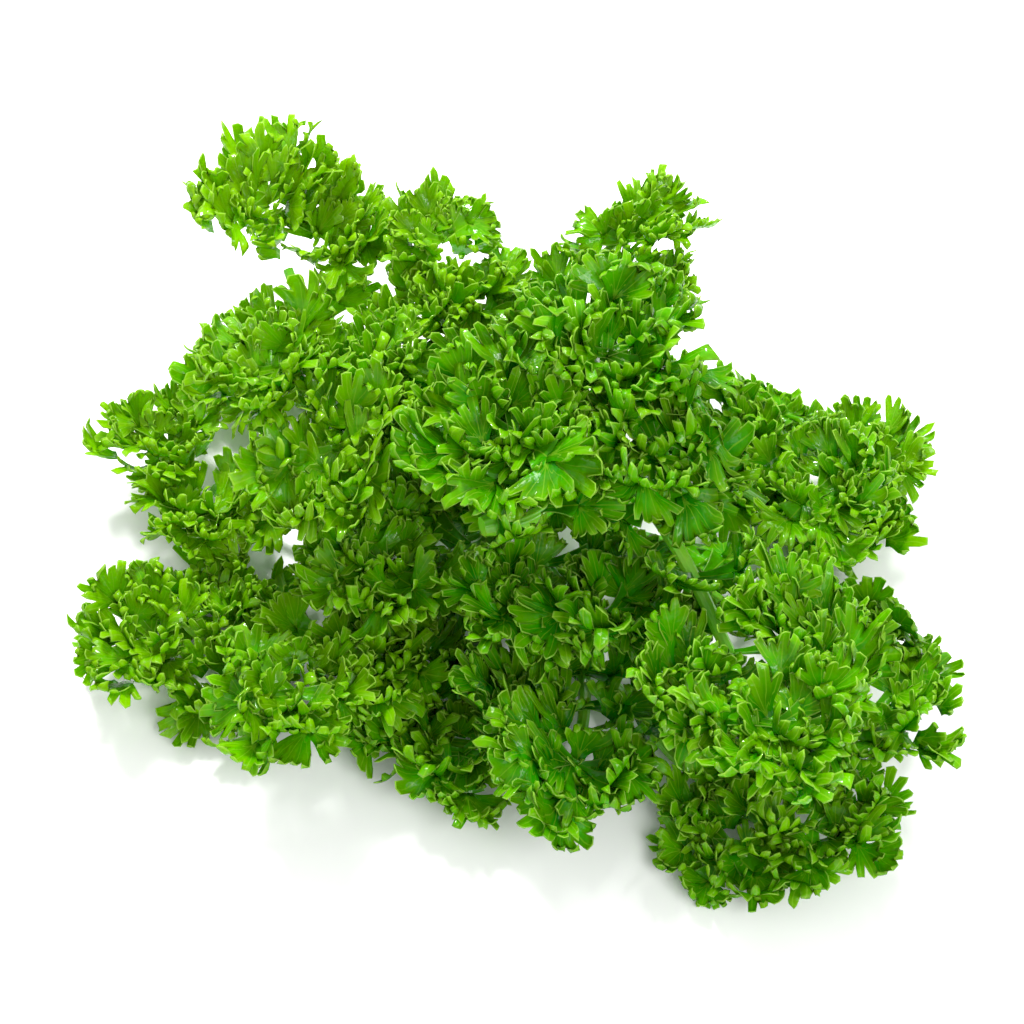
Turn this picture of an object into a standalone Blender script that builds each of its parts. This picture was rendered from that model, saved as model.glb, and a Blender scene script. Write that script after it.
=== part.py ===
"""A bunch of curly parsley, lying as a loose heap of sprigs with short cut stems.

Each sprig is a stem and two or three leaflets.  The stems cross in the middle of the
heap and the leafy heads point outwards.  The sprigs are laid one after another: every
stem and leaflet comes to lie just above whatever is already under it, so the order of
SPRIGS is the order from the surface upwards.  Lengths are in millimetres until the
meshes are made, X to the right, Y away from the viewer and Z up.
"""

import math
from collections import namedtuple

import bmesh
import bpy
import numpy as np

METRES = 0.001

# Stems: a little thicker at the cut than where the leaflets branch.  STEM_REST is the
# height of a stem's middle over what it lies on, in radii, and STEM_SLOPE the steepest
# it climbs over what is in its way.
CUT_RADIUS = 1.7
FORK_RADIUS = 1.1
STEM_POINTS = 15
STEM_SLOPE = 0.45
STEM_REST = 1.1

# Leaflets: fans of curled lobes, thicker here than the blade because the curl fills the
# space.  A fan is shorter at its sides, and opens quickly from its stalk.
BLADE_THICKNESS = 1.3
LOBES = 6
COLUMNS = 2 * LOBES
ROWS = 4
STALK_HALF_WIDTH = 1.0
STALK_LENGTH = 3.0
NOTCH_DEPTH = 0.17
SIDE_SHORTENING = 0.22
FAN_OPENING = 2.2
CURL_HEIGHT = 2.2
LEAF_SLOPE = 0.9

# The heap: a grid of heights, the clearance kept between neighbours, and how finely a
# leaflet's surface is read when the heap is raised to it.
GRID_CELL = 1.5
GRID_HALF_WIDTH = 130.0
CLEARANCE = 0.5
FINE_STEPS = 60

# A leaflet leaves its stem this far before the fork, turned this much from the sprig.
Branch = namedtuple("Branch", "turn setback spread size")
BRANCHES = {
    "tip": Branch(turn=0.0, setback=0.0, spread=82.0, size=1.0),
    "left": Branch(turn=76.0, setback=6.0, spread=86.0, size=0.9),
    "right": Branch(turn=-76.0, setback=3.0, spread=86.0, size=0.9),
}
ALL_THREE = ("right", "left", "tip")

# cut and fork are places on the surface, bow is the stem's sideways bend, reach the tip
# leaflet's length, hover the least height of the fork above the surface, and rise how
# much higher than the fork the tip leaflet ends.
Sprig = namedtuple("Sprig", "name cut fork bow reach hover rise leaflets")
SPRIGS = (
    Sprig("left_low", (-7, 2), (-60, -22), 5, 30, 0, 0, ALL_THREE),
    Sprig("front_middle", (1, 10), (-11, -37), -5, 31, 0, 0, ("right", "tip")),
    Sprig("front_right", (4, 4), (47, -60), -6, 30, 0, 0, ALL_THREE),
    Sprig("right_high", (11, 5), (64, 16), -6, 27, 0, 4, ALL_THREE),
    Sprig("left_high", (-4, 12), (-47, 48), -5, 26, 0, 4, ("right", "tip")),
    Sprig("front_left", (-5, -2), (-37, -34), -5, 31, 0, 0, ("left", "tip")),
    Sprig("front_centre", (5, -6), (13, -49), 4, 31, 0, 0, ("right", "tip")),
    Sprig("right_low", (12, -2), (63, -37), 6, 28, 0, 0, ("left", "tip")),
    Sprig("left_middle", (-8, 8), (-63, 20), 6, 27, 0, 0, ("left", "tip")),
    Sprig("centre_low", (8, 20), (-14, -14), 5, 32, 10, 0, ("right", "tip")),
    Sprig("front_high", (0, 24), (11, -27), -6, 33, 12, 0, ("right", "tip")),
    Sprig("back_right", (-6, -12), (20, 55), 7, 26, 26, 12, ("right", "tip")),
    Sprig("back_left", (12, -14), (-48, 62), 7, 30, 26, 14, ("right", "tip")),
    Sprig("back_middle", (6, -16), (-10, 45), -5, 23, 24, 8, ("left", "tip")),
    Sprig("right_middle", (-14, 2), (49, -8), 5, 28, 24, 0, ("left", "tip")),
    Sprig("left_top", (14, 4), (-34, 2), 5, 32, 28, 0, ALL_THREE),
    Sprig("right_top", (4, 0), (43, -57), 6, 30, 20, 0, ALL_THREE),
    Sprig("crown", (-6, -30), (14, -15), -5, 38, 40, 0, ALL_THREE),
)

STEM_GREEN = (0.30, 0.50, 0.08, 1.0)
STEM_ROUGHNESS = 0.4
LEAF_GREEN = (0.10, 0.33, 0.03, 1.0)
LEAF_ROUGHNESS = 0.45


class Heap:
    """The height of what already lies at each place on the surface."""

    def __init__(self):
        side = np.arange(-GRID_HALF_WIDTH, GRID_HALF_WIDTH + GRID_CELL, GRID_CELL)
        self.x, self.y = (axis.ravel() for axis in np.meshgrid(side, side, indexing="ij"))
        self.columns = len(side)
        self.top = np.zeros(len(self.x))

    def support(self, x, y, around, slope):
        """The height needed at each (x, y) to clear all that lies within around, falling away at slope."""
        used = self.top > 0
        if not used.any():
            return np.zeros(len(x))
        distance = np.hypot(x[:, None] - self.x[used], y[:, None] - self.y[used])
        heights = self.top[used] - slope * np.maximum(distance - np.reshape(around, (-1, 1)), 0)
        return np.maximum(heights.max(axis=1), 0)

    def cover(self, x, y, z):
        """Raises the heap to z at each (x, y), and at the cells next to it."""
        column = np.rint((x + GRID_HALF_WIDTH) / GRID_CELL).astype(int)
        row = np.rint((y + GRID_HALF_WIDTH) / GRID_CELL).astype(int)
        for column_step in (-1, 0, 1):
            for row_step in (-1, 0, 1):
                cells = (column + column_step) * self.columns + row + row_step
                np.maximum.at(self.top, cells, z)


def remove_startup_objects():
    for obj in list(bpy.data.objects):
        bpy.data.objects.remove(obj)


def new_material(name, colour, roughness):
    material = bpy.data.materials.new(name)
    material.use_nodes = True
    shader = material.node_tree.nodes["Principled BSDF"]
    shader.inputs["Base Color"].default_value = colour
    shader.inputs["Roughness"].default_value = roughness
    shader.inputs["Metallic"].default_value = 0.0
    return material


def stem_plan(sprig):
    """Points on the surface under the stem, from the cut end to the fork, and the heading there."""
    cut = np.array(sprig.cut, float)
    fork = np.array(sprig.fork, float)
    along = (fork - cut) / np.linalg.norm(fork - cut)
    bend = (cut + fork) / 2 + 2 * sprig.bow * np.array([-along[1], along[0]])
    t = np.linspace(0, 1, STEM_POINTS)[:, None]
    points = (1 - t) ** 2 * cut + 2 * t * (1 - t) * bend + t ** 2 * fork
    heading = math.atan2(fork[1] - bend[1], fork[0] - bend[0])
    return points, heading


def new_stem(name, points, radii):
    """A round stem through the points, as a curve with closed ends."""
    curve = bpy.data.curves.new(name, "CURVE")
    curve.dimensions = "3D"
    curve.bevel_depth = METRES
    curve.bevel_resolution = 2
    curve.use_fill_caps = True
    spline = curve.splines.new("POLY")
    spline.points.add(len(points) - 1)
    for control, place, radius in zip(spline.points, points, radii):
        control.co = (*(METRES * place), 1.0)
        control.radius = radius
    return bpy.data.objects.new(name, curve)


def lay_stem(heap, sprig):
    """A stem over what lies in its way, with its head end held at the sprig's hover height."""
    plan, heading = stem_plan(sprig)
    x, y = plan.T
    t = np.linspace(0, 1, STEM_POINTS)
    radius = CUT_RADIUS + (FORK_RADIUS - CUT_RADIUS) * t
    spacing = np.linalg.norm(np.diff(plan, axis=0), axis=1).max()
    z = heap.support(x, y, spacing + CUT_RADIUS, STEM_SLOPE)
    z = np.maximum(z, sprig.hover * t ** 2) + STEM_REST * radius + CLEARANCE * (z > 0)
    stem = new_stem(f"{sprig.name}_stem", np.column_stack((x, y, z)), radius)

    steps = np.arange(STEM_POINTS)
    fine = np.linspace(0, STEM_POINTS - 1, 8 * STEM_POINTS)
    x, y, z, radius = (np.interp(fine, steps, values) for values in (x, y, z, radius))
    for side in (-1, 0, 1):
        heap.cover(x + side * radius, y + side * radius, z + radius)
    return stem, plan[-1], heading


def fan_plan(reach, spread):
    """(forward, sideways, curl) of a fan's grid of vertices, with its stalk's end at the origin.

    Going across, the outline runs from notch to lobe tip to notch; going out, the stalk
    widens into the fan and each lobe curls up.
    """
    across, out = np.meshgrid(
        np.linspace(-1, 1, COLUMNS + 1), np.linspace(0, 1, ROWS + 1), indexing="ij"
    )
    lobe = (1 - np.cos(np.pi * np.arange(COLUMNS + 1))) / 2
    length = reach * (1 - SIDE_SHORTENING * across[:, -1] ** 2) * (1 - NOTCH_DEPTH * (1 - lobe))
    distance = STALK_LENGTH + (length[:, None] - STALK_LENGTH) * out
    opening = 1 - (1 - out) ** FAN_OPENING
    angle = across * (math.radians(spread) * opening + STALK_HALF_WIDTH / distance)
    curl = CURL_HEIGHT * out ** 2 * lobe[:, None]
    return distance * np.cos(angle), distance * np.sin(angle), curl


def neighbour_distance(x, y):
    """How far each vertex of the grid is from the furthest of the eight around it."""
    places = np.pad(np.dstack((x, y)), ((1, 1), (1, 1), (0, 0)), mode="edge")
    columns, rows = x.shape
    steps = [
        places[i:i + columns, j:j + rows] - places[1:-1, 1:-1] for i in range(3) for j in range(3)
    ]
    return np.linalg.norm(steps, axis=3).max(axis=0)


def new_leaflet(name, x, y, z):
    """A closed blade from a flat grid, bent to the places given and then thickened."""
    bm = bmesh.new()
    bmesh.ops.create_grid(bm, x_segments=COLUMNS, y_segments=ROWS, size=1.0)
    for vert in bm.verts:
        column = round((vert.co.x + 1) / 2 * COLUMNS)
        row = round((vert.co.y + 1) / 2 * ROWS)
        vert.co = METRES * np.array([x[column, row], y[column, row], z[column, row]])
    raised = bmesh.ops.extrude_face_region(bm, geom=list(bm.faces), use_keep_orig=True)
    upper = [piece for piece in raised["geom"] if isinstance(piece, bmesh.types.BMVert)]
    bmesh.ops.translate(bm, verts=upper, vec=(0, 0, METRES * BLADE_THICKNESS))
    bmesh.ops.triangulate(bm, faces=bm.faces)
    bmesh.ops.recalc_face_normals(bm, faces=bm.faces)
    mesh = bpy.data.meshes.new(name)
    bm.to_mesh(mesh)
    bm.free()
    return bpy.data.objects.new(name, mesh)


def lay_leaflet(heap, sprig, side, fork, heading):
    """A leaflet draped over what lies under it, or held up where its sprig stands clear."""
    branch = BRANCHES[side]
    reach = sprig.reach * branch.size
    forward, sideways, curl = fan_plan(reach, branch.spread)
    turned = heading + math.radians(branch.turn)
    base = fork - branch.setback * np.array([math.cos(heading), math.sin(heading)])
    x = base[0] + forward * math.cos(turned) - sideways * math.sin(turned)
    y = base[1] + forward * math.sin(turned) + sideways * math.cos(turned)
    around = neighbour_distance(x, y).ravel()
    under = heap.support(x.ravel(), y.ravel(), around, LEAF_SLOPE).reshape(x.shape)
    held = sprig.hover + sprig.rise * np.maximum(forward / reach, 0)
    z = np.maximum(under + CLEARANCE * (under > 0), held) + curl
    heap.cover(refine(x), refine(y), refine(z) + BLADE_THICKNESS)
    return new_leaflet(f"{sprig.name}_leaflet_{side}", x, y, z)


def refine(grid):
    """The grid's values at finer steps across and out, read linearly."""
    steps = np.linspace(0, 1, FINE_STEPS)
    across = np.linspace(0, 1, grid.shape[0])
    out = np.linspace(0, 1, grid.shape[1])
    columns = np.array([np.interp(steps, across, grid[:, k]) for k in range(grid.shape[1])])
    return np.array([np.interp(steps, out, column) for column in columns.T]).ravel()


def centre_on_origin(pieces):
    """Moves the pieces so that the middle of the whole heap's footprint is at the origin."""
    bpy.context.view_layer.update()
    graph = bpy.context.evaluated_depsgraph_get()
    meshes = [piece.evaluated_get(graph).to_mesh() for piece in pieces]
    places = np.array([vert.co for mesh in meshes for vert in mesh.vertices])
    centre = (places.min(axis=0) + places.max(axis=0)) / 2
    for piece in pieces:
        piece.location = (-centre[0], -centre[1], 0.0)


def main():
    remove_startup_objects()
    collection = bpy.data.collections.new("parsley_bunch")
    bpy.context.scene.collection.children.link(collection)
    bunch = bpy.data.objects.new("bunch", None)
    collection.objects.link(bunch)
    stem_material = new_material("stem_green", STEM_GREEN, STEM_ROUGHNESS)
    leaf_material = new_material("leaf_green", LEAF_GREEN, LEAF_ROUGHNESS)

    heap = Heap()
    pieces = []
    for sprig in SPRIGS:
        stem, fork, heading = lay_stem(heap, sprig)
        stem.data.materials.append(stem_material)
        pieces.append(stem)
        for side in sprig.leaflets:
            leaflet = lay_leaflet(heap, sprig, side, fork, heading)
            leaflet.data.materials.append(leaf_material)
            pieces.append(leaflet)
    for piece in pieces:
        collection.objects.link(piece)
        piece.parent = bunch
    centre_on_origin(pieces)


main()
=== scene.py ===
"""The looks of a curly parsley bunch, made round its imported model.

Every leaflet of the model becomes a head of frilled fans that lies where the leaflet
lies, and every stem becomes a ridged stalk along the same line.
"""

import math

import bmesh
import bpy
import numpy as np
from bpy.props import FloatProperty, FloatVectorProperty, IntProperty, PointerProperty
from mathutils import Matrix, Vector


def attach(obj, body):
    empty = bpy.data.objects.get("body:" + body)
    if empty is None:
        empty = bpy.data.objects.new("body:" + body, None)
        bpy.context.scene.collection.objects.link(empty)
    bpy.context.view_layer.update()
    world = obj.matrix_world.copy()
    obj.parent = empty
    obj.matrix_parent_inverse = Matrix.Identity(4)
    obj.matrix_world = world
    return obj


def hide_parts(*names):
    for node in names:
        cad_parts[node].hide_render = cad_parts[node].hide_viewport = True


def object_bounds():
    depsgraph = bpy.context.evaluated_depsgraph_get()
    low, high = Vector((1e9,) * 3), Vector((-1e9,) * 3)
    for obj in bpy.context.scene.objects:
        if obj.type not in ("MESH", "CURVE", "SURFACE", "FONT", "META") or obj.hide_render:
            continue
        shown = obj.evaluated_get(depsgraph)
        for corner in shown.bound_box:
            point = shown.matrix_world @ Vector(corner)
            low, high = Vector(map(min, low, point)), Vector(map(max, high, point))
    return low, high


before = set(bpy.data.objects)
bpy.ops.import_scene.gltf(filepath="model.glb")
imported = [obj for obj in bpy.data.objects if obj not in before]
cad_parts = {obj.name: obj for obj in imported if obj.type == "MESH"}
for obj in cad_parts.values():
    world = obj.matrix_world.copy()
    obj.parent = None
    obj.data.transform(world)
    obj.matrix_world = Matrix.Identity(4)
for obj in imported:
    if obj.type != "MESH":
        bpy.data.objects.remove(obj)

bl_info = {
    "name": "Curly parsley bunch",
    "version": (1, 0, 0),
    "blender": (4, 5, 0),
    "location": "3D View > Sidebar > Parsley",
    "description": "Dresses the packed model of a parsley bunch with frilled leaves and ridged stems",
    "category": "Object",
}

MM = 0.001
CAD_BOX = [list(corner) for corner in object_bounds()]
STEM_NODES = sorted(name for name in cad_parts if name.endswith("_stem"))
LEAFLET_NODES = sorted(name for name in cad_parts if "_leaflet_" in name)


def linear(hex_colour):
    """The linear RGBA of an sRGB hex colour."""
    channels = [int(hex_colour[i:i + 2], 16) / 255 for i in (0, 2, 4)]
    return tuple(c / 12.92 if c <= 0.04045 else ((c + 0.055) / 1.055) ** 2.4 for c in channels) + (1.0,)


class ParsleySizes(bpy.types.PropertyGroup):
    blade_thickness: FloatProperty(
        name="Blade thickness", description="Thickness of the leaf blade",
        default=0.2 * MM, min=0.05 * MM, unit="LENGTH",
    )
    curl: FloatProperty(
        name="Curl", description="How far the lobes curl, 1 for a tightly curled leaf",
        default=1.15, min=0.0, max=2.0,
    )
    opening: FloatProperty(
        name="Opening", description="Half the angle that a lobed tip opens to",
        default=math.radians(46), subtype="ANGLE",
    )
    neck_width: FloatProperty(
        name="Neck width", description="Width of a segment where it leaves the hub",
        default=2.6 * MM, min=0.2 * MM, unit="LENGTH",
    )
    crest_tips: IntProperty(
        name="Crest tips", description="Lobed tips that stand on a leaflet of middling size",
        default=18, min=0, max=40,
    )
    floor_gap: FloatProperty(
        name="Floor gap", description="Least height of a leaf over the surface",
        default=0.3 * MM, min=0.0, unit="LENGTH",
    )
    stem_ridges: IntProperty(
        name="Stem ridges", description="Fine ridges round a stem", default=9, min=3, max=16,
    )


class ParsleyColours(bpy.types.PropertyGroup):
    deep: FloatVectorProperty(
        name="Deep leaf", description="The darkest green of the blade",
        size=4, subtype="COLOR", default=linear("0a7c00"), min=0.0, max=1.0,
    )
    bright: FloatVectorProperty(
        name="Bright leaf", description="The fresh green of the blade",
        size=4, subtype="COLOR", default=linear("30b000"), min=0.0, max=1.0,
    )
    under: FloatVectorProperty(
        name="Underside", description="The duller green of the blade's underside",
        size=4, subtype="COLOR", default=linear("4aa600"), min=0.0, max=1.0,
    )
    # Partly the real yellow-green of young lobes, partly painted light: the glow through thin lobes and
    # the lit outer heads.
    young_and_lit: FloatVectorProperty(
        name="Young leaf", description="The yellow-green of thin young lobes",
        size=4, subtype="COLOR", default=linear("92cc00"), min=0.0, max=1.0,
    )
    vein: FloatVectorProperty(
        name="Vein", description="The pale green of veins",
        size=4, subtype="COLOR", default=linear("9ccc30"), min=0.0, max=1.0,
    )
    # Painted rim highlight: the pale line along a lobe's edge stands in for light catching the rim.
    margin: FloatVectorProperty(
        name="Margin", description="The pale edge of a lobe",
        size=4, subtype="COLOR", default=linear("c4e070"), min=0.0, max=1.0,
    )
    stem: FloatVectorProperty(
        name="Stem", description="The pale green of the stems",
        size=4, subtype="COLOR", default=linear("86b828"), min=0.0, max=1.0,
    )
    floor: FloatVectorProperty(
        name="Floor", description="The pale surface that the bunch lies on",
        size=4, subtype="COLOR", default=linear("f6f6f6"), min=0.0, max=1.0,
    )


class StageSettings(bpy.types.PropertyGroup):
    lens: FloatProperty(name="Lens", description="Focal length", default=85.0, unit="CAMERA")
    elevation: FloatProperty(
        name="Elevation", description="How far the camera looks down",
        default=math.radians(50), subtype="ANGLE",
    )
    distance: FloatProperty(
        name="Distance", description="From the camera to the middle of the bunch",
        default=0.484, unit="LENGTH",
    )
    aim: FloatVectorProperty(
        name="Aim", description="The point that the camera looks at",
        size=3, subtype="TRANSLATION", default=(0.0, -0.001, 0.020), unit="LENGTH",
    )


# --- Materials ---------------------------------------------------------------------------


def add_node(tree, kind, inputs, **settings):
    """Adds a node; inputs go by name or number and are values or sockets, settings are its own."""
    node = tree.nodes.new(kind)
    for key, value in settings.items():
        setattr(node, key, value)
    for key, value in inputs.items():
        if isinstance(value, bpy.types.NodeSocket):
            tree.links.new(value, node.inputs[key])
        else:
            node.inputs[key].default_value = value
    return node


# The numbers of the sockets for colours on a Mix node
SHARE, BELOW, ABOVE, MIXED = 0, 6, 7, 2


def new_tree(name):
    """A material with no nodes yet, and its tree."""
    material = bpy.data.materials.new(name)
    material.use_nodes = True
    material.node_tree.nodes.clear()
    return material, material.node_tree


def leaf_material(name, colours, roughness, shine):
    """Fresh wet parsley blade: waxy green, with light glowing through it where it is thin."""
    deep, bright, young_and_lit, vein, margin = colours
    material, tree = new_tree(name)
    place = add_node(tree, "ShaderNodeTexCoord", {}).outputs["Object"]
    marks = {
        key: add_node(tree, "ShaderNodeAttribute", {}, attribute_name=key).outputs["Fac"]
        for key in ("across", "spread", "half_width", "margin", "young_and_lit")
    }
    # Puckers about 1 mm across, which break the shine into small sparkles.
    pucker = add_node(
        tree, "ShaderNodeTexNoise", {"Vector": place, "Scale": 1 / (1.1 * MM), "Detail": 1.0},
    ).outputs["Fac"]
    pucker = add_node(
        tree, "ShaderNodeBump", {"Height": pucker, "Strength": 0.8, "Distance": 0.2 * MM},
    ).outputs["Normal"]
    # Films of water in patches about 3 mm across.
    film = add_node(
        tree, "ShaderNodeTexNoise", {"Vector": place, "Scale": 1 / (3 * MM), "Detail": 1.0},
    ).outputs["Fac"]
    film = add_node(
        tree, "ShaderNodeMapRange", {"Value": film, "From Min": 0.54, "From Max": 0.60},
    ).outputs["Result"]
    # Blotches about 6 mm across, where the blade is thicker or greener.
    blotch = add_node(
        tree, "ShaderNodeTexNoise", {"Vector": place, "Scale": 1 / (6 * MM), "Detail": 2.0},
    ).outputs["Fac"]
    blotch = add_node(
        tree, "ShaderNodeMapRange", {"Value": blotch, "From Min": 0.35, "From Max": 0.65},
    ).outputs["Result"]
    # A painted highlight along the rim of each lobe.
    edge = add_node(
        tree, "ShaderNodeMath", {0: marks["margin"], 1: 0.4}, operation="MULTIPLY",
    ).outputs["Value"]
    # Each colour lies over the ones before it: random blotches, the yellow-green that is partly painted
    # light, the veins, and the painted rim highlight.
    green = deep
    veins = vein_lines(tree, marks)
    for share, colour in ((blotch, bright), (marks["young_and_lit"], young_and_lit), (veins, vein), (edge, margin)):
        green = add_node(
            tree, "ShaderNodeMix", {SHARE: share, BELOW: green, ABOVE: colour}, data_type="RGBA",
        ).outputs[MIXED]
    blade = add_node(
        tree, "ShaderNodeBsdfPrincipled",
        {
            "Base Color": green, "Roughness": roughness, "Specular IOR Level": shine, "Normal": pucker,
            "Coat Weight": film, "Coat Roughness": 0.05, "Coat IOR": 1.4, "Coat Normal": pucker,
        },
    ).outputs["BSDF"]
    glow = add_node(tree, "ShaderNodeBsdfTranslucent", {"Color": green}).outputs["BSDF"]
    both = add_node(tree, "ShaderNodeMixShader", {0: 0.5, 1: blade, 2: glow}).outputs["Shader"]
    add_node(tree, "ShaderNodeOutputMaterial", {"Surface": both})
    return material


def vein_lines(tree, marks):
    """Fine veins about 0.2 mm wide that run out from the base, one to each lobe, as they fan out."""
    place = marks["across"]
    for operation, other in (("ABSOLUTE", 0.0), ("DIVIDE", marks["spread"])):
        place = add_node(
            tree, "ShaderNodeMath", {0: place, 1: other}, operation=operation,
        ).outputs["Value"]
    away = place
    for operation, other in (
        ("PINGPONG", 1 / LOBES), ("MULTIPLY", marks["spread"]), ("MULTIPLY", marks["half_width"]),
    ):
        away = add_node(
            tree, "ShaderNodeMath", {0: away, 1: other}, operation=operation,
        ).outputs["Value"]
    line = add_node(
        tree, "ShaderNodeMapRange",
        {"Value": away, "From Min": 0.06, "From Max": 0.18, "To Min": 0.5, "To Max": 0.0},
    ).outputs["Result"]
    inside = add_node(
        tree, "ShaderNodeMath", {0: place, 1: 1.0}, operation="LESS_THAN",
    ).outputs["Value"]
    return add_node(tree, "ShaderNodeMath", {0: line, 1: inside}, operation="MULTIPLY").outputs["Value"]


UPPER_SIDE = "wet_parsley_leaf_upper_side"
UNDERSIDE = "parsley_leaf_underside"


def leaf_materials(colours):
    """The glossy upper side and the duller, paler underside of a blade, made once."""
    made = [bpy.data.materials.get(name) for name in (UPPER_SIDE, UNDERSIDE)]
    if all(made):
        return made
    bright, young_and_lit, vein, margin = (
        tuple(colour) for colour in (colours.bright, colours.young_and_lit, colours.vein, colours.margin)
    )
    # Wet waxy upper side: a sharp, bright shine.
    upper = leaf_material(UPPER_SIDE, (tuple(colours.deep), bright, young_and_lit, vein, margin), 0.2, 0.12)
    # Underside: paler, with less wax and a softer shine.
    under = leaf_material(UNDERSIDE, (tuple(colours.under), bright, young_and_lit, vein, margin), 0.38, 0.1)
    return upper, under


def stem_material(colours):
    """Fresh parsley stem: smooth, waxy pale green with a soft shine."""
    material, tree = new_tree("fresh_parsley_stem")
    place = add_node(tree, "ShaderNodeTexCoord", {}).outputs["Object"]
    # Slight blotches about 5 mm across.
    blotch = add_node(
        tree, "ShaderNodeTexNoise", {"Vector": place, "Scale": 1 / (5 * MM)},
    ).outputs["Fac"]
    green = add_node(
        tree, "ShaderNodeMix",
        {SHARE: blotch, BELOW: tuple(colours.stem), ABOVE: tuple(colours.bright)}, data_type="RGBA",
    ).outputs[MIXED]
    shader = add_node(
        tree, "ShaderNodeBsdfPrincipled",
        {
            "Base Color": green, "Roughness": 0.3, "Specular IOR Level": 0.5,
            "Subsurface Weight": 0.3, "Subsurface Scale": MM,
        },
    ).outputs["BSDF"]
    add_node(tree, "ShaderNodeOutputMaterial", {"Surface": shader})
    return material


def floor_material(colours):
    """Smooth matt card, plain and pale."""
    material, tree = new_tree("matt_white_card")
    shader = add_node(
        tree, "ShaderNodeBsdfPrincipled", {"Base Color": tuple(colours.floor), "Roughness": 0.7},
    ).outputs["BSDF"]
    add_node(tree, "ShaderNodeOutputMaterial", {"Surface": shader})
    return material


# --- Meshes ------------------------------------------------------------------------------


def deselect_all():
    """So that a new primitive is the only thing that an operator acts on."""
    bpy.ops.object.select_all(action="DESELECT")


def grid_object(name, places):
    """A grid primitive bent so that its vertices lie at places, an array (columns, rows, 3)."""
    deselect_all()
    columns, rows = places.shape[:2]
    bpy.ops.mesh.primitive_grid_add(x_subdivisions=columns - 1, y_subdivisions=rows - 1, size=2.0)
    grid = bpy.context.object
    grid.name = name
    flat = np.empty(columns * rows * 3)
    grid.data.vertices.foreach_get("co", flat)
    column = np.rint((flat[0::3] + 1) / 2 * (columns - 1)).astype(int)
    row = np.rint((flat[1::3] + 1) / 2 * (rows - 1)).astype(int)
    grid.data.vertices.foreach_set("co", places[column, row].ravel())
    return grid, column, row


def blades(name, sheets, sizes):
    """One object of many sheets of blade, each (places, marks), given the blade's thickness."""
    columns = sheets[0][0].shape[0]
    blade, column, row = grid_object(name, np.concatenate([places for places, _ in sheets]))
    for key in sheets[0][1]:
        mark = blade.data.attributes.new(key, "FLOAT", "POINT")
        values = np.concatenate([marks[key] for _, marks in sheets])
        mark.data.foreach_set("value", values[column, row].astype(np.float32))
    # The grid's strips between one sheet and the next are cut away.
    shape = bmesh.new()
    shape.from_mesh(blade.data)
    strips = [f for f in shape.faces if min(column[v.index] for v in f.verts) % columns == columns - 1]
    bmesh.ops.delete(shape, geom=strips, context="FACES")
    shape.to_mesh(blade.data)
    shape.free()
    thicken = blade.modifiers.new("blade", "SOLIDIFY")
    thicken.thickness = sizes.blade_thickness
    thicken.offset = 0.0
    thicken.material_offset = 1
    bpy.ops.object.modifier_apply(modifier=thicken.name)
    bpy.ops.object.shade_smooth()
    return blade


# --- The parts of a leaf -------------------------------------------------------------------

LOBES = 5
COLUMNS = 4 * LOBES + 1
ROWS = 9
SINUS = 0.6  # Where the cuts between lobes end, as a share of the tip's reach
LOBE_TURN = math.radians(36)  # How far the edges of a lobe turn away from its middle


def ease(value, start, end):
    """0 before start, 1 after end, and smooth between them."""
    share = np.clip((value - start) / (end - start), 0, 1)
    return share * share * (3 - 2 * share)


def split(value, parts):
    """Which of the equal parts value is in, and its place in that part, from -1 to 1."""
    index = np.clip(np.floor(value * parts + 1e-9), 0, parts - 1).astype(int)
    return index, 2 * (value * parts - index) - 1


def turned(places, heading, pitch, roll, base):
    """places rolled about +X, turned up by pitch, then round to heading, and moved to base."""
    turn = Matrix.Rotation(heading, 3, "Z") @ Matrix.Rotation(-pitch, 3, "Y")
    turn = turn @ Matrix.Rotation(roll, 3, "X")
    return places @ np.array(turn).T + base


def between(rng, low, high):
    """A random angle, given in degrees."""
    return math.radians(rng.uniform(low, high))


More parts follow.
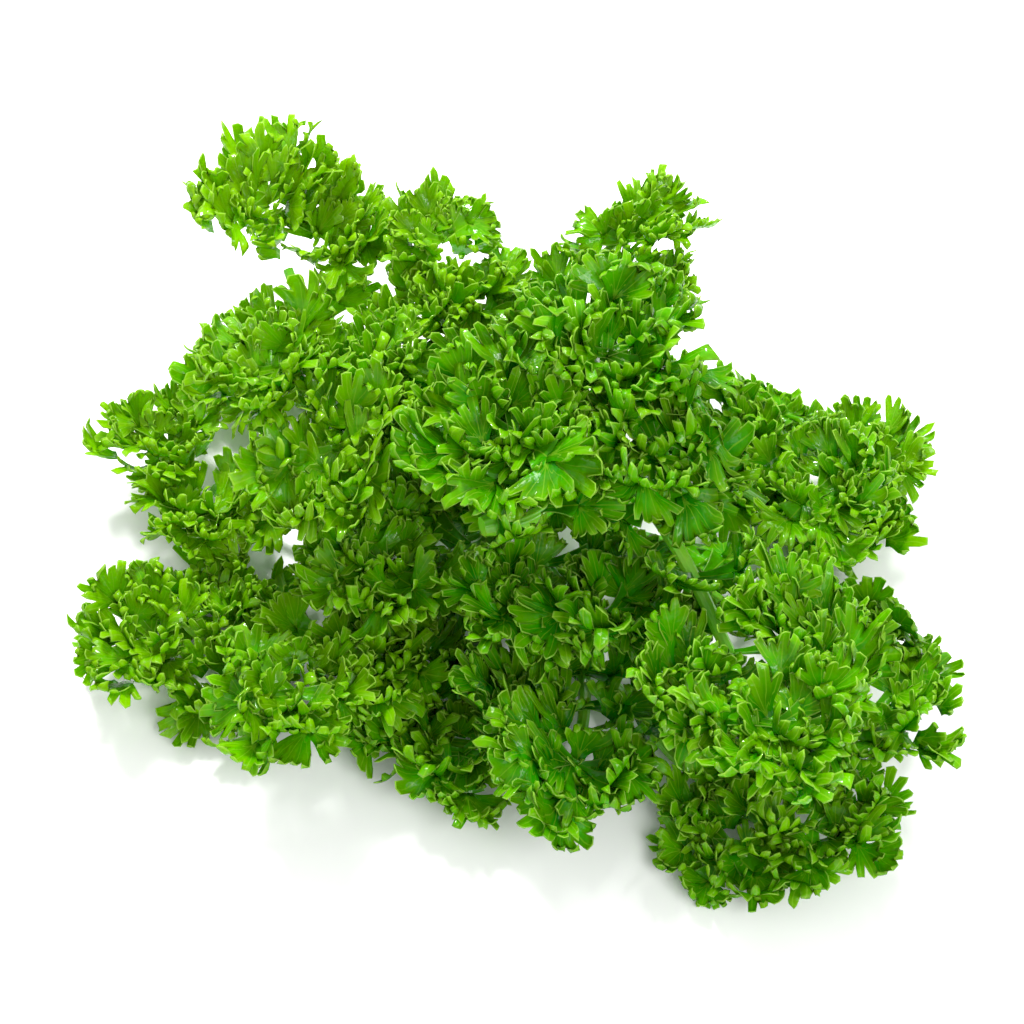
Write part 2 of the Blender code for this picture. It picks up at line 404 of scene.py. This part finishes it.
def curled_tip(rng, reach, sizes):
    """The five-lobed end of a segment: places (COLUMNS, ROWS, 3) from the origin out to +X, and marks.

    Each column is a ray from the base that bends as it goes out, by its place across the
    tip and across its lobe, both from -1 to 1. The lobes spread, cup and roll over, most of
    them upwards.
    """
    share = np.linspace(0, 1, COLUMNS)[:, None]
    across = 2 * share - 1
    lobe, lobe_side = split(share, LOBES)
    # From 0 at the base to 1 at the lobe's rim, with more rows near the rim, where it rolls.
    way = 1 - (1 - np.linspace(0, 1, ROWS)[None, :]) ** 1.5

    def each(low, high):
        return rng.uniform(low, high, LOBES)[lobe]

    # Narrow cuts between small lobes, each with its own uneven teeth.
    length = each(0.8, 1.0)
    outline = SINUS + (length - SINUS) * (1 - lobe_side ** 2) ** 0.6
    teeth = rng.uniform(0.9, 1.06, (COLUMNS, 1))
    outline = reach * outline * teeth * (1 - 0.2 * np.abs(across) ** 4)
    out = outline * way

    opening = ease(out, -0.10 * reach, 0.25 * reach)
    unfolding = ease(out, 0.0, 0.5 * reach)
    rolling = ease(out, SINUS * reach, length * reach)
    turn = -(sizes.opening * across * opening + LOBE_TURN * lobe_side * rolling)
    roll = np.where(rng.random(LOBES)[lobe] < 0.7, each(30, 165), each(-120, -20))
    pitch = unfolding * np.radians(rng.uniform(-30, 30) * across + rng.uniform(0, 45) * across ** 2)
    roll = roll + each(-45, 45) * lobe_side + each(10, 80) * lobe_side ** 2
    pitch = pitch + sizes.curl * rolling * np.radians(roll)

    heading = np.stack(
        [np.cos(pitch) * np.cos(turn), np.cos(pitch) * np.sin(turn), np.sin(pitch)], axis=-1
    )
    steps = (heading[:, 1:] + heading[:, :-1]) / 2 * np.diff(out, axis=1)[..., None]
    places = np.concatenate([np.zeros((COLUMNS, 1, 3)), np.cumsum(steps, axis=1)], axis=1)
    places[..., 1] -= sizes.neck_width / 2 * across * (1 - 0.6 * way)
    # What the finish reads: where veins run, their scale in mm, the rim where a highlight is painted,
    # and the share of yellow-green, partly random from lobe to lobe and partly painted light, paler
    # towards the tips as a painted glow through the thin lobes.
    marks = {
        "across": across + 0 * way,
        "spread": 0.03 + 0.97 * ease(way, 0.0, 0.55) + 0 * across,
        "half_width": (0.8 * out + 0.5 * sizes.neck_width) / MM,
        "margin": 1 - ease(outline * (1 - way), 0, 0.4 * MM),
        "young_and_lit": 0.35 * each(0, 1) + 0.6 * way ** 2,
    }
    return places, marks


def neck(length, bend, sizes):
    """The strip of blade between the hub and the tips, curving up by bend, and the places along it."""
    across = np.linspace(-1, 1, COLUMNS)[:, None]
    way = np.linspace(0, 1, ROWS)[None, :]
    steps = length / (ROWS - 1)
    along = bend * (way[0, 1:] + way[0, :-1]) / 2
    x = np.concatenate([[0], np.cumsum(steps * np.cos(along))])
    z = np.concatenate([[0], np.cumsum(steps * np.sin(along))])
    width = sizes.neck_width * (0.8 + 1.7 * way ** 2)  # It widens towards the tips
    places = np.stack([x + 0 * across, -across * width / 2, z + 0.15 * width * across ** 2], axis=-1)
    # One vein runs along the middle, and a rim highlight is painted along both sides.
    marks = {
        "across": 0.1 * across + 0 * way,
        "spread": 1 + 0 * across * way,
        "half_width": 5 * width / MM + 0 * across,
        "margin": np.abs(across) ** 20 + 0 * way,
        "young_and_lit": 0.25 + 0 * across * way,
    }
    return places, marks, x, z


# Where a segment's tips grow: how far along the neck, how far to the side, and their reach.
TIPS = ((1.0, 0, 0.60), (0.95, 50, 0.52), (0.95, -50, 0.52), (0.5, 80, 0.42), (0.5, -80, 0.42))


def segment(rng, reach, sizes, tips=TIPS):
    """The sheets of one segment, from the origin out to +X: a neck with lobed tips."""
    bend = between(rng, -25, 25)
    places, marks, x, z = neck(0.45 * reach, bend, sizes)
    sheets = [(places, marks)]
    for along, side, share in tips:
        tip, marks = curled_tip(rng, reach * share * rng.uniform(0.9, 1.1), sizes)
        row = round(along * (ROWS - 1))
        sheets.append((
            turned(
                tip, math.radians(side) + between(rng, -12, 12), bend * along + between(rng, -25, 50),
                between(rng, -30, 30), (x[row], 0.0, z[row]),
            ),
            marks,
        ))
    return sheets


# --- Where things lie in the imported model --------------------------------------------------


def node_points(name):
    """The node's vertices, each place once."""
    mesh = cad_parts[name].data
    flat = np.empty(len(mesh.vertices) * 3)
    mesh.vertices.foreach_get("co", flat)
    return np.unique(np.round(flat.reshape(-1, 3), 6), axis=0)


STEM_RINGS = 15  # A stem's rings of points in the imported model


def stem_line(name):
    """(centres, radii) of the stem's rings, from the cut end to the thin end."""
    points = node_points(name)
    middle = points.mean(axis=0)
    chord = np.linalg.svd(points - middle)[2][0]
    order = np.argsort((points - middle) @ chord)
    rings = np.array_split(points[order], STEM_RINGS)
    centres = np.array([ring.mean(axis=0) for ring in rings])
    radii = np.array([np.linalg.norm(ring - ring.mean(axis=0), axis=1).mean() for ring in rings])
    if radii[0] < radii[-1]:
        centres, radii = centres[::-1], radii[::-1]
    return centres, radii


class Lie:
    """Where a leaflet lies: its base, its heading, its reach and the height of its surface."""

    stalk = 2.4 * MM  # The stalk is all that lies this near to the leaflet's end at the fork
    blur = 1.5 * MM  # How widely the heights of the points are blended

    def __init__(self, name):
        self.points = node_points(name)
        fork = stem_line(name.split("_leaflet_")[0] + "_stem")[0][-1]
        nearest = self.points[np.argmin(np.linalg.norm(self.points[:, :2] - fork[:2], axis=1))]
        near = np.linalg.norm(self.points - nearest, axis=1) < self.stalk
        self.base = self.points[near].mean(axis=0)
        away = self.points.mean(axis=0) - self.base
        self.heading = math.atan2(away[1], away[0])
        along = (self.points - self.base)[:, :2] @ (math.cos(self.heading), math.sin(self.heading))
        self.reach = along.max()

    def height(self, x, y):
        """The height of the leaflet's middle surface at each (x, y)."""
        far = np.hypot(x.ravel()[:, None] - self.points[:, 0], y.ravel()[:, None] - self.points[:, 1])
        weight = 1 / (far ** 2 + self.blur ** 2) ** 2
        return ((weight * self.points[:, 2]).sum(axis=1) / weight.sum(axis=1)).reshape(x.shape)


# --- Operators -----------------------------------------------------------------------------


HUB = 0.32  # Where a leaflet's segments meet, as a share of its reach
SEGMENT_SIDES = (0, 52, -52, 106, -106)  # Degrees between a segment and the leaflet's heading
GOLDEN_ANGLE = math.radians(137.5)
MIDDLING = 27 * MM  # The reach of a leaflet of middling size
PAIRS = (0.15, 0.40, 0.65, 0.88)  # Where lower leaves grow, as shares of the way to the fork
LOWER_REACH = 17 * MM  # The reach of a lower leaf at the cut end
LOWER_GAIN = 2 * MM  # What a lower leaf's reach gains up to the fork
SHADED_MIDDLE = (0.02, -0.04)  # The place on the floor under the heap's middle, where painted shade keeps the green deepest; leaves away from it are painted paler, as light on the outer heads
CEILING = CAD_BOX[1][2] + 9 * MM  # The middle of a blade stays below this height


def existing(nodes, kind):
    """The nodes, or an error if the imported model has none."""
    if not nodes:
        raise RuntimeError("the packed model has no " + kind)
    return nodes


def settled(places, sizes):
    """places kept above the floor gap and below the ceiling, with a soft turn at each."""
    low, high = 2.0 * MM, 0.8 * MM
    height = sizes.floor_gap + low * np.logaddexp(0, (places[..., 2] - sizes.floor_gap) / low)
    places[..., 2] = CEILING - high * np.logaddexp(0, (CEILING - height) / high)
    return places


def lit_away_from_middle(marks, base):
    """The marks of a sheet whose leaf grows at base, with painted light: paler away from the heap's
    middle, where painted shade keeps the green deepest.
    """
    away = math.dist(base[:2], SHADED_MIDDLE)
    return marks | {"young_and_lit": np.clip(marks["young_and_lit"] * 0.8 + 5.0 * away - 0.15, 0, 1)}


class PARSLEY_OT_leaflets(bpy.types.Operator):
    """Makes a curled leaflet of many lobed tips for every leaflet of the model"""

    bl_idname = "parsley.leaflets"
    bl_label = "Curled leaflets"

    def execute(self, context):
        sizes = context.scene.parsley_sizes
        upper, under = leaf_materials(context.scene.parsley_colours)
        for number, name in enumerate(existing(LEAFLET_NODES, "leaflets")):
            rng = np.random.default_rng(number)
            lie = Lie(name)
            leaflet = blades("curled_" + name, self.sheets(rng, lie, sizes), sizes)
            leaflet.data.materials.append(upper)
            leaflet.data.materials.append(under)
            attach(leaflet, "root")
            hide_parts(name)
        return {"FINISHED"}

    def sheets(self, rng, lie, sizes):
        """Five segments round the hub, and a crest of tips that stand on them."""
        hub = HUB * lie.reach
        sheets = []
        for side in SEGMENT_SIDES:
            aside = math.radians(side) + between(rng, -10, 10)
            sheets += self.lay(
                lie, sizes, segment(rng, lie.reach * rng.uniform(0.68, 0.80), sizes),
                hub, 0.0, aside, between(rng, 0, 18), between(rng, -20, 20),
            )
        size = lie.reach / MIDDLING
        for index in range(round(sizes.crest_tips * size ** 2)):
            aside = GOLDEN_ANGLE * index + between(rng, -20, 20)
            tip = curled_tip(rng, MIDDLING * size ** 0.3 * rng.uniform(0.32, 0.43), sizes)
            away = lie.reach * rng.uniform(0.05, 0.50)
            sheets += self.lay(
                lie, sizes, [tip], hub, away, aside, between(rng, 15, 75), between(rng, -40, 40),
            )
        return sheets

    def lay(self, lie, sizes, sheets, hub, away, aside, pitch, roll):
        """The sheets, started away from the hub and resting on the leaflet's height."""
        heading = lie.heading + aside
        start = np.array([
            lie.base[0] + hub * math.cos(lie.heading) + away * math.cos(heading),
            lie.base[1] + hub * math.sin(lie.heading) + away * math.sin(heading),
            1.0 * MM,
        ])
        laid = []
        for places, marks in sheets:
            places = turned(places, heading, pitch, roll, start)
            places[..., 2] += lie.height(places[..., 0], places[..., 1])
            laid.append((settled(places, sizes), lit_away_from_middle(marks, lie.base)))
        return laid


class PARSLEY_OT_lower_leaves(bpy.types.Operator):
    """Makes pairs of small leaf segments along every stem of the model, below its leaflets"""

    bl_idname = "parsley.lower_leaves"
    bl_label = "Lower leaves"

    def execute(self, context):
        sizes = context.scene.parsley_sizes
        upper, under = leaf_materials(context.scene.parsley_colours)
        for number, name in enumerate(existing(STEM_NODES, "stems")):
            rng = np.random.default_rng(100 + number)
            leaves = blades("lower_leaves_" + name, self.sheets(rng, stem_line(name)[0], sizes), sizes)
            leaves.data.materials.append(upper)
            leaves.data.materials.append(under)
            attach(leaves, "root")
            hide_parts(name)
        return {"FINISHED"}

    def sheets(self, rng, line, sizes):
        """Pairs of segments, the widest nearest the fork."""
        sheets = []
        for share in PAIRS:
            step = round(share * (STEM_RINGS - 1))
            ahead = line[step + 1] - line[step - 1]
            for side in (-1, 1):
                heading = math.atan2(ahead[1], ahead[0]) + side * between(rng, 50, 80)
                base = line[step] + (0, 0, 0.8 * MM)
                pitch = between(rng, 8, 40)
                roll = between(rng, -25, 25)
                reach = LOWER_REACH + LOWER_GAIN * share
                for places, marks in segment(rng, reach, sizes, TIPS[:3]):
                    places = turned(places, heading, pitch, roll, base)
                    sheets.append((settled(places, sizes), lit_away_from_middle(marks, base)))
        return sheets


class PARSLEY_OT_stems(bpy.types.Operator):
    """Makes a ridged stalk along every stem of the model"""

    bl_idname = "parsley.stems"
    bl_label = "Ridged stems"

    def execute(self, context):
        sizes = context.scene.parsley_sizes
        material = stem_material(context.scene.parsley_colours)
        for name in existing(STEM_NODES, "stems"):
            centres, radii = stem_line(name)
            stem = self.tube(name, centres, radii, sizes.stem_ridges)
            stem.data.materials.clear()
            stem.data.materials.append(material)
            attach(stem, "root")
            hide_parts(name)
        return {"FINISHED"}

    def tube(self, name, centres, radii, ridges):
        """A grid rolled round the line, its seam merged and its ends closed."""
        along = np.linspace(0, STEM_RINGS - 1, 4 * STEM_RINGS)
        steps = np.arange(STEM_RINGS)
        line = np.column_stack([np.interp(along, steps, centres[:, k]) for k in range(3)])
        line[1:-1] = (line[:-2] + 2 * line[1:-1] + line[2:]) / 4
        radius = np.interp(along, steps, radii)
        heading = np.gradient(line, axis=0)
        heading /= np.linalg.norm(heading, axis=1)[:, None]
        side = np.cross(heading, (0, 0, 1))
        side /= np.linalg.norm(side, axis=1)[:, None]
        top = np.cross(side, heading)
        angle = np.linspace(0, 2 * math.pi, 4 * ridges + 1)
        ridge = 1 + 0.05 * np.cos(ridges * angle)
        around = np.cos(angle)[:, None, None] * side + np.sin(angle)[:, None, None] * top
        places = line + around * (radius * ridge[:, None])[..., None]
        stem, _, _ = grid_object("ridged_" + name, places)
        bpy.ops.object.mode_set(mode="EDIT")
        bpy.ops.mesh.select_all(action="SELECT")
        bpy.ops.mesh.remove_doubles(threshold=0.01 * MM)
        bpy.ops.mesh.fill_holes(sides=0)
        bpy.ops.mesh.normals_make_consistent(inside=False)
        bpy.ops.object.mode_set(mode="OBJECT")
        bpy.ops.object.shade_smooth_by_angle(angle=math.radians(50))
        return stem


class PARSLEY_OT_stage(bpy.types.Operator):
    """Sets the pale floor, the soft lights and the camera"""

    bl_idname = "parsley.stage"
    bl_label = "Stage"

    def execute(self, context):
        scene = context.scene
        settings = scene.parsley_stage
        deselect_all()
        bpy.ops.mesh.primitive_plane_add(size=6.0)
        floor = context.object
        floor.name = "floor"
        floor.data.materials.append(floor_material(scene.parsley_colours))

        world = bpy.data.worlds.new("soft_studio")
        scene.world = world
        world.use_nodes = True
        background = world.node_tree.nodes["Background"]
        background.inputs["Color"].default_value = (1.0, 1.0, 1.0, 1.0)
        background.inputs["Strength"].default_value = 0.85

        self.light("key", (-0.2, 0.45, 0.75), 0.2, 12.0)
        self.light("fill", (0.3, -0.6, 0.6), 0.4, 5.0)
        self.light("back", (0.3, 0.6, 0.5), 0.08, 3.5)

        bpy.ops.object.camera_add()
        camera = context.object
        camera.name = "camera"
        camera.data.lens = settings.lens
        back = Vector((0, -math.cos(settings.elevation), math.sin(settings.elevation)))
        camera.location = Vector(settings.aim) + settings.distance * back
        camera.rotation_euler = (math.pi / 2 - settings.elevation, 0, 0)
        scene.camera = camera
        scene.view_settings.view_transform = "Standard"
        return {"FINISHED"}

    def light(self, name, place, size, power):
        bpy.ops.object.light_add(type="AREA", location=place)
        light = bpy.context.object
        light.name = name
        light.data.size = size
        light.data.energy = power
        light.rotation_euler = (-Vector(place)).to_track_quat("-Z", "Y").to_euler()


class PARSLEY_PT_panel(bpy.types.Panel):
    bl_idname = "PARSLEY_PT_panel"
    bl_label = "Curly parsley"
    bl_space_type = "VIEW_3D"
    bl_region_type = "UI"
    bl_category = "Parsley"

    def draw(self, context):
        for settings in ("parsley_sizes", "parsley_colours", "parsley_stage"):
            group = getattr(context.scene, settings)
            for key in group.__annotations__:
                self.layout.prop(group, key)
        for operator in OPERATORS:
            self.layout.operator(operator.bl_idname)


OPERATORS = (PARSLEY_OT_stage, PARSLEY_OT_stems, PARSLEY_OT_lower_leaves, PARSLEY_OT_leaflets)
CLASSES = (ParsleySizes, ParsleyColours, StageSettings, *OPERATORS, PARSLEY_PT_panel)


def register():
    for cls in CLASSES:
        bpy.utils.register_class(cls)
    bpy.types.Scene.parsley_sizes = PointerProperty(type=ParsleySizes)
    bpy.types.Scene.parsley_colours = PointerProperty(type=ParsleyColours)
    bpy.types.Scene.parsley_stage = PointerProperty(type=StageSettings)


def unregister():
    del bpy.types.Scene.parsley_stage
    del bpy.types.Scene.parsley_colours
    del bpy.types.Scene.parsley_sizes
    for cls in reversed(CLASSES):
        bpy.utils.unregister_class(cls)


def main():
    register()
    bpy.ops.parsley.stage()
    bpy.ops.parsley.stems()
    bpy.ops.parsley.lower_leaves()
    bpy.ops.parsley.leaflets()
    deselect_all()


if __name__ == "__main__":
    main()
